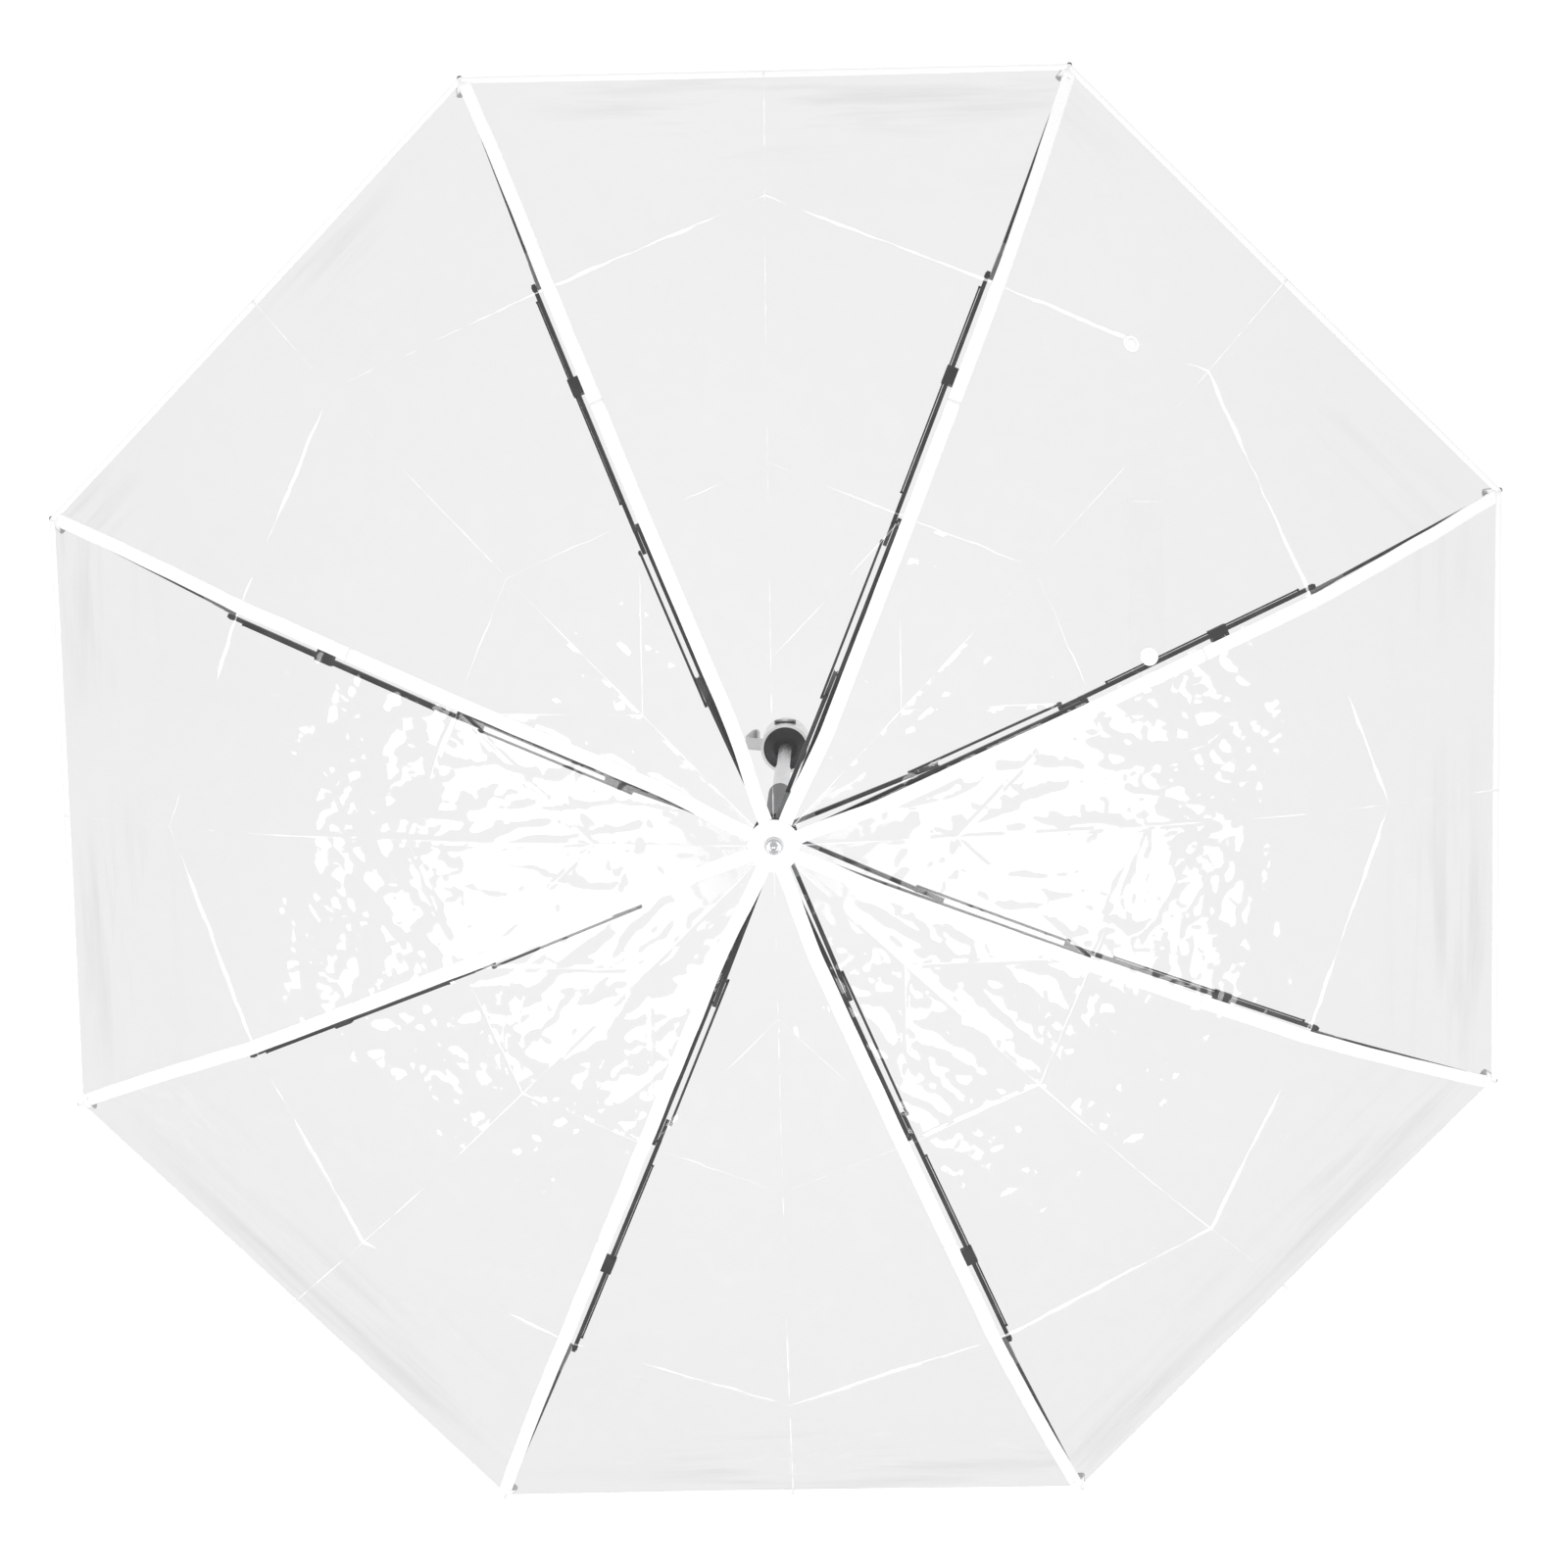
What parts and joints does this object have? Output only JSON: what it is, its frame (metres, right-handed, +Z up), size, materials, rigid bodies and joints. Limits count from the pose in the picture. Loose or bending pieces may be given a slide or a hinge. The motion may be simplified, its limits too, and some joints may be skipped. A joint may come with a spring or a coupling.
{
  "type": "folding umbrella",
  "caption": "Compact folding umbrella: clear film canopy on hinged folding ribs, sliding runner, telescopic shaft, and a push-button grip with a wrist strap.",
  "frame": {"origin": "on the shaft's axis, in the middle of the grip's straight cylindrical part", "axes": "+Z up the shaft from the grip to the crown, +Y out of the push button, -X out of the wrist strap's slot"},
  "size_m": [0.911, 0.911, 0.5831],
  "materials": {
    "handle_white": "satin moulded",
    "black_plastic": "smooth moulded",
    "pale_plastic": "smooth moulded",
    "runner_plastic": "fine moulded texture",
    "bright_tube": "drawn bright tube",
    "black_tube": "satin black coating",
    "spring_steel": "bare wire",
    "dark_rib": "dark coated sheet steel",
    "tip_plastic": "dark fibre rod and moulded joint",
    "white_webbing": "woven flat webbing",
    "white_tape": "woven tape",
    "clear_film": "clear soft film"
  },
  "bodies": {
    "handle": {"handle_shell": "handle_white", "handle_collar": "black_plastic", "inner_tube": "bright_tube", "main_spring": "spring_steel", "strap_pin": "spring_steel", "button_spring": "spring_steel"},
    "button": {"push_button": "black_plastic", "latch": "spring_steel"},
    "strap": {"wrist_strap": "white_webbing"},
    "middle": {"middle_tube": "bright_tube"},
    "head": {"outer_tube": "black_tube", "crown": "pale_plastic", "crown_wire": "spring_steel", "finial_cap": "bright_tube", "canopy": "clear_film", "canopy_trim": "white_tape", "closure_strap": "clear_film", "snap_buttons": "handle_white"},
    "slider": {"runner": "runner_plastic", "runner_wire": "spring_steel"},
    "top_1": {"top_rib_1": "dark_rib"},
    "stretcher_1": {"stretcher_1": "dark_rib"},
    "rod_1": {"connecting_rod_1": "dark_rib"},
    "mid_1": {"mid_rib_1": "dark_rib"},
    "tip_1": {"tip_rib_1": "tip_plastic"},
    "top_2": {"top_rib_2": "dark_rib"},
    "stretcher_2": {"stretcher_2": "dark_rib"},
    "rod_2": {"connecting_rod_2": "dark_rib"},
    "mid_2": {"mid_rib_2": "dark_rib"},
    "tip_2": {"tip_rib_2": "tip_plastic"},
    "top_3": {"top_rib_3": "dark_rib"},
    "stretcher_3": {"stretcher_3": "dark_rib"},
    "rod_3": {"connecting_rod_3": "dark_rib"},
    "mid_3": {"mid_rib_3": "dark_rib"},
    "tip_3": {"tip_rib_3": "tip_plastic"},
    "top_4": {"top_rib_4": "dark_rib"},
    "stretcher_4": {"stretcher_4": "dark_rib"},
    "rod_4": {"connecting_rod_4": "dark_rib"},
    "mid_4": {"mid_rib_4": "dark_rib"},
    "tip_4": {"tip_rib_4": "tip_plastic"},
    "top_5": {"top_rib_5": "dark_rib"},
    "stretcher_5": {"stretcher_5": "dark_rib"},
    "rod_5": {"connecting_rod_5": "dark_rib"},
    "mid_5": {"mid_rib_5": "dark_rib"},
    "tip_5": {"tip_rib_5": "tip_plastic"},
    "top_6": {"top_rib_6": "dark_rib"},
    "stretcher_6": {"stretcher_6": "dark_rib"},
    "rod_6": {"connecting_rod_6": "dark_rib"},
    "mid_6": {"mid_rib_6": "dark_rib"},
    "tip_6": {"tip_rib_6": "tip_plastic"},
    "top_7": {"top_rib_7": "dark_rib"},
    "stretcher_7": {"stretcher_7": "dark_rib"},
    "rod_7": {"connecting_rod_7": "dark_rib"},
    "mid_7": {"mid_rib_7": "dark_rib"},
    "tip_7": {"tip_rib_7": "tip_plastic"},
    "top_8": {"top_rib_8": "dark_rib"},
    "stretcher_8": {"stretcher_8": "dark_rib"},
    "rod_8": {"connecting_rod_8": "dark_rib"},
    "mid_8": {"mid_rib_8": "dark_rib"},
    "tip_8": {"tip_rib_8": "tip_plastic"}
  },
  "joints": [
    {"name": "shaft_slide", "type": "slide", "parent": "handle", "child": "head", "axis": [0, 0, -1], "range_m": [0, 0.258], "deforming": ["main_spring"]},
    {"name": "middle_slide", "type": "slide", "parent": "handle", "child": "middle", "axis": [0, 0, -1], "range_m": [0, 0.1291]},
    {"name": "runner_slide", "type": "slide", "parent": "head", "child": "slider", "axis": [0, 0, -1], "range_m": [0, 0.15035]},
    {"name": "button_press", "type": "slide", "parent": "handle", "child": "button", "axis": [0, -1, 0], "range_m": [0, 0.0025], "stiffness_N_per_m": 400, "springref_m": -0.002, "deforming": ["button_spring"]},
    {"name": "strap_swing", "type": "hinge", "parent": "handle", "child": "strap", "pos_m": [-0.015, 0, 0.016], "axis": [0, 1, 0], "range_deg": [0, 100]},
    {"name": "canopy_fold", "type": "hinge", "parent": "head", "child": "top_1", "pos_m": [0.01016, 0.00421, 0.518], "axis": [-0.3827, 0.9239, 0], "range_deg": [0, 76], "deforming": ["canopy", "canopy_trim", "closure_strap", "snap_buttons"]},
    {"name": "stretcher_hinge_1", "type": "hinge", "parent": "top_1", "child": "stretcher_1", "pos_m": [0.0945, 0.03915, 0.50025], "axis": [-0.3827, 0.9239, 0], "range_deg": [-152.1, 0]},
    {"name": "rod_hinge_1", "type": "hinge", "parent": "stretcher_1", "child": "rod_1", "pos_m": [0.08113, 0.0336, 0.4995], "axis": [-0.3827, 0.9239, 0], "range_deg": [0, 152.1]},
    {"name": "mid_hinge_1", "type": "hinge", "parent": "top_1", "child": "mid_1", "pos_m": [0.18066, 0.07483, 0.48213], "axis": [-0.3827, 0.9239, 0], "range_deg": [-183.6, 0]},
    {"name": "tip_hinge_1", "type": "hinge", "parent": "mid_1", "child": "tip_1", "pos_m": [0.32084, 0.1329, 0.43136], "axis": [-0.3827, 0.9239, 0], "range_deg": [0, 159.6]},
    {"name": "top_hinge_2", "type": "hinge", "parent": "head", "child": "top_2", "pos_m": [0.00421, 0.01016, 0.518], "axis": [-0.9239, 0.3827, 0], "range_deg": [0, 76.1]},
    {"name": "stretcher_hinge_2", "type": "hinge", "parent": "top_2", "child": "stretcher_2", "pos_m": [0.03915, 0.0945, 0.50025], "axis": [-0.9239, 0.3827, 0], "range_deg": [-152.1, 0]},
    {"name": "rod_hinge_2", "type": "hinge", "parent": "stretcher_2", "child": "rod_2", "pos_m": [0.0336, 0.08113, 0.4995], "axis": [-0.9239, 0.3827, 0], "range_deg": [0, 152.1]},
    {"name": "mid_hinge_2", "type": "hinge", "parent": "top_2", "child": "mid_2", "pos_m": [0.07483, 0.18066, 0.48213], "axis": [-0.9239, 0.3827, 0], "range_deg": [-183.6, 0]},
    {"name": "tip_hinge_2", "type": "hinge", "parent": "mid_2", "child": "tip_2", "pos_m": [0.1329, 0.32084, 0.43136], "axis": [-0.9239, 0.3827, 0], "range_deg": [0, 159.6]},
    {"name": "top_hinge_3", "type": "hinge", "parent": "head", "child": "top_3", "pos_m": [-0.00421, 0.01016, 0.518], "axis": [-0.9239, -0.3827, 0], "range_deg": [0, 76.1]},
    {"name": "stretcher_hinge_3", "type": "hinge", "parent": "top_3", "child": "stretcher_3", "pos_m": [-0.03915, 0.0945, 0.50025], "axis": [-0.9239, -0.3827, 0], "range_deg": [-152.1, 0]},
    {"name": "rod_hinge_3", "type": "hinge", "parent": "stretcher_3", "child": "rod_3", "pos_m": [-0.0336, 0.08113, 0.4995], "axis": [-0.9239, -0.3827, 0], "range_deg": [0, 152.1]},
    {"name": "mid_hinge_3", "type": "hinge", "parent": "top_3", "child": "mid_3", "pos_m": [-0.07483, 0.18066, 0.48213], "axis": [-0.9239, -0.3827, 0], "range_deg": [-183.6, 0]},
    {"name": "tip_hinge_3", "type": "hinge", "parent": "mid_3", "child": "tip_3", "pos_m": [-0.1329, 0.32084, 0.43136], "axis": [-0.9239, -0.3827, 0], "range_deg": [0, 159.6]},
    {"name": "top_hinge_4", "type": "hinge", "parent": "head", "child": "top_4", "pos_m": [-0.01016, 0.00421, 0.518], "axis": [-0.3827, -0.9239, 0], "range_deg": [0, 76.1]},
    {"name": "stretcher_hinge_4", "type": "hinge", "parent": "top_4", "child": "stretcher_4", "pos_m": [-0.0945, 0.03915, 0.50025], "axis": [-0.3827, -0.9239, 0], "range_deg": [-152.1, 0]},
    {"name": "rod_hinge_4", "type": "hinge", "parent": "stretcher_4", "child": "rod_4", "pos_m": [-0.08113, 0.0336, 0.4995], "axis": [-0.3827, -0.9239, 0], "range_deg": [0, 152.1]},
    {"name": "mid_hinge_4", "type": "hinge", "parent": "top_4", "child": "mid_4", "pos_m": [-0.18066, 0.07483, 0.48213], "axis": [-0.3827, -0.9239, 0], "range_deg": [-183.6, 0]},
    {"name": "tip_hinge_4", "type": "hinge", "parent": "mid_4", "child": "tip_4", "pos_m": [-0.32084, 0.1329, 0.43136], "axis": [-0.3827, -0.9239, 0], "range_deg": [0, 159.6]},
    {"name": "top_hinge_5", "type": "hinge", "parent": "head", "child": "top_5", "pos_m": [-0.01016, -0.00421, 0.518], "axis": [0.3827, -0.9239, 0], "range_deg": [0, 76.1]},
    {"name": "stretcher_hinge_5", "type": "hinge", "parent": "top_5", "child": "stretcher_5", "pos_m": [-0.0945, -0.03915, 0.50025], "axis": [0.3827, -0.9239, 0], "range_deg": [-152.1, 0]},
    {"name": "rod_hinge_5", "type": "hinge", "parent": "stretcher_5", "child": "rod_5", "pos_m": [-0.08113, -0.0336, 0.4995], "axis": [0.3827, -0.9239, 0], "range_deg": [0, 152.1]},
    {"name": "mid_hinge_5", "type": "hinge", "parent": "top_5", "child": "mid_5", "pos_m": [-0.18066, -0.07483, 0.48213], "axis": [0.3827, -0.9239, 0], "range_deg": [-183.6, 0]},
    {"name": "tip_hinge_5", "type": "hinge", "parent": "mid_5", "child": "tip_5", "pos_m": [-0.32084, -0.1329, 0.43136], "axis": [0.3827, -0.9239, 0], "range_deg": [0, 159.6]},
    {"name": "top_hinge_6", "type": "hinge", "parent": "head", "child": "top_6", "pos_m": [-0.00421, -0.01016, 0.518], "axis": [0.9239, -0.3827, 0], "range_deg": [0, 76.1]},
    {"name": "stretcher_hinge_6", "type": "hinge", "parent": "top_6", "child": "stretcher_6", "pos_m": [-0.03915, -0.0945, 0.50025], "axis": [0.9239, -0.3827, 0], "range_deg": [-152.1, 0]},
    {"name": "rod_hinge_6", "type": "hinge", "parent": "stretcher_6", "child": "rod_6", "pos_m": [-0.0336, -0.08113, 0.4995], "axis": [0.9239, -0.3827, 0], "range_deg": [0, 152.1]},
    {"name": "mid_hinge_6", "type": "hinge", "parent": "top_6", "child": "mid_6", "pos_m": [-0.07483, -0.18066, 0.48213], "axis": [0.9239, -0.3827, 0], "range_deg": [-183.6, 0]},
    {"name": "tip_hinge_6", "type": "hinge", "parent": "mid_6", "child": "tip_6", "pos_m": [-0.1329, -0.32084, 0.43136], "axis": [0.9239, -0.3827, 0], "range_deg": [0, 159.6]},
    {"name": "top_hinge_7", "type": "hinge", "parent": "head", "child": "top_7", "pos_m": [0.00421, -0.01016, 0.518], "axis": [0.9239, 0.3827, 0], "range_deg": [0, 76.1]},
    {"name": "stretcher_hinge_7", "type": "hinge", "parent": "top_7", "child": "stretcher_7", "pos_m": [0.03915, -0.0945, 0.50025], "axis": [0.9239, 0.3827, 0], "range_deg": [-152.1, 0]},
    {"name": "rod_hinge_7", "type": "hinge", "parent": "stretcher_7", "child": "rod_7", "pos_m": [0.0336, -0.08113, 0.4995], "axis": [0.9239, 0.3827, 0], "range_deg": [0, 152.1]},
    {"name": "mid_hinge_7", "type": "hinge", "parent": "top_7", "child": "mid_7", "pos_m": [0.07483, -0.18066, 0.48213], "axis": [0.9239, 0.3827, 0], "range_deg": [-183.6, 0]},
    {"name": "tip_hinge_7", "type": "hinge", "parent": "mid_7", "child": "tip_7", "pos_m": [0.1329, -0.32084, 0.43136], "axis": [0.9239, 0.3827, 0], "range_deg": [0, 159.6]},
    {"name": "top_hinge_8", "type": "hinge", "parent": "head", "child": "top_8", "pos_m": [0.01016, -0.00421, 0.518], "axis": [0.3827, 0.9239, 0], "range_deg": [0, 76.1]},
    {"name": "stretcher_hinge_8", "type": "hinge", "parent": "top_8", "child": "stretcher_8", "pos_m": [0.0945, -0.03915, 0.50025], "axis": [0.3827, 0.9239, 0], "range_deg": [-152.1, 0]},
    {"name": "rod_hinge_8", "type": "hinge", "parent": "stretcher_8", "child": "rod_8", "pos_m": [0.08113, -0.0336, 0.4995], "axis": [0.3827, 0.9239, 0], "range_deg": [0, 152.1]},
    {"name": "mid_hinge_8", "type": "hinge", "parent": "top_8", "child": "mid_8", "pos_m": [0.18066, -0.07483, 0.48213], "axis": [0.3827, 0.9239, 0], "range_deg": [-183.6, 0]},
    {"name": "tip_hinge_8", "type": "hinge", "parent": "mid_8", "child": "tip_8", "pos_m": [0.32084, -0.1329, 0.43136], "axis": [0.3827, 0.9239, 0], "range_deg": [0, 159.6]}
  ],
  "couplings": [
    {"joint": "middle_slide", "follows": "shaft_slide", "ratio": 0.5},
    {"joint": "runner_slide", "follows": "canopy_fold", "m_per_rad": 0.11328},
    {"joint": "stretcher_hinge_1", "follows": "canopy_fold", "ratio": -2},
    {"joint": "rod_hinge_1", "follows": "canopy_fold", "ratio": 2},
    {"joint": "mid_hinge_1", "follows": "canopy_fold", "ratio": -2.4145},
    {"joint": "tip_hinge_1", "follows": "canopy_fold", "ratio": 2.0987},
    {"joint": "top_hinge_2", "follows": "canopy_fold", "ratio": 1},
    {"joint": "stretcher_hinge_2", "follows": "canopy_fold", "ratio": -2},
    {"joint": "rod_hinge_2", "follows": "canopy_fold", "ratio": 2},
    {"joint": "mid_hinge_2", "follows": "canopy_fold", "ratio": -2.4145},
    {"joint": "tip_hinge_2", "follows": "canopy_fold", "ratio": 2.0987},
    {"joint": "top_hinge_3", "follows": "canopy_fold", "ratio": 1},
    {"joint": "stretcher_hinge_3", "follows": "canopy_fold", "ratio": -2},
    {"joint": "rod_hinge_3", "follows": "canopy_fold", "ratio": 2},
    {"joint": "mid_hinge_3", "follows": "canopy_fold", "ratio": -2.4145},
    {"joint": "tip_hinge_3", "follows": "canopy_fold", "ratio": 2.0987},
    {"joint": "top_hinge_4", "follows": "canopy_fold", "ratio": 1},
    {"joint": "stretcher_hinge_4", "follows": "canopy_fold", "ratio": -2},
    {"joint": "rod_hinge_4", "follows": "canopy_fold", "ratio": 2},
    {"joint": "mid_hinge_4", "follows": "canopy_fold", "ratio": -2.4145},
    {"joint": "tip_hinge_4", "follows": "canopy_fold", "ratio": 2.0987},
    {"joint": "top_hinge_5", "follows": "canopy_fold", "ratio": 1},
    {"joint": "stretcher_hinge_5", "follows": "canopy_fold", "ratio": -2},
    {"joint": "rod_hinge_5", "follows": "canopy_fold", "ratio": 2},
    {"joint": "mid_hinge_5", "follows": "canopy_fold", "ratio": -2.4145},
    {"joint": "tip_hinge_5", "follows": "canopy_fold", "ratio": 2.0987},
    {"joint": "top_hinge_6", "follows": "canopy_fold", "ratio": 1},
    {"joint": "stretcher_hinge_6", "follows": "canopy_fold", "ratio": -2},
    {"joint": "rod_hinge_6", "follows": "canopy_fold", "ratio": 2},
    {"joint": "mid_hinge_6", "follows": "canopy_fold", "ratio": -2.4145},
    {"joint": "tip_hinge_6", "follows": "canopy_fold", "ratio": 2.0987},
    {"joint": "top_hinge_7", "follows": "canopy_fold", "ratio": 1},
    {"joint": "stretcher_hinge_7", "follows": "canopy_fold", "ratio": -2},
    {"joint": "rod_hinge_7", "follows": "canopy_fold", "ratio": 2},
    {"joint": "mid_hinge_7", "follows": "canopy_fold", "ratio": -2.4145},
    {"joint": "tip_hinge_7", "follows": "canopy_fold", "ratio": 2.0987},
    {"joint": "top_hinge_8", "follows": "canopy_fold", "ratio": 1},
    {"joint": "stretcher_hinge_8", "follows": "canopy_fold", "ratio": -2},
    {"joint": "rod_hinge_8", "follows": "canopy_fold", "ratio": 2},
    {"joint": "mid_hinge_8", "follows": "canopy_fold", "ratio": -2.4145},
    {"joint": "tip_hinge_8", "follows": "canopy_fold", "ratio": 2.0987}
  ]
}
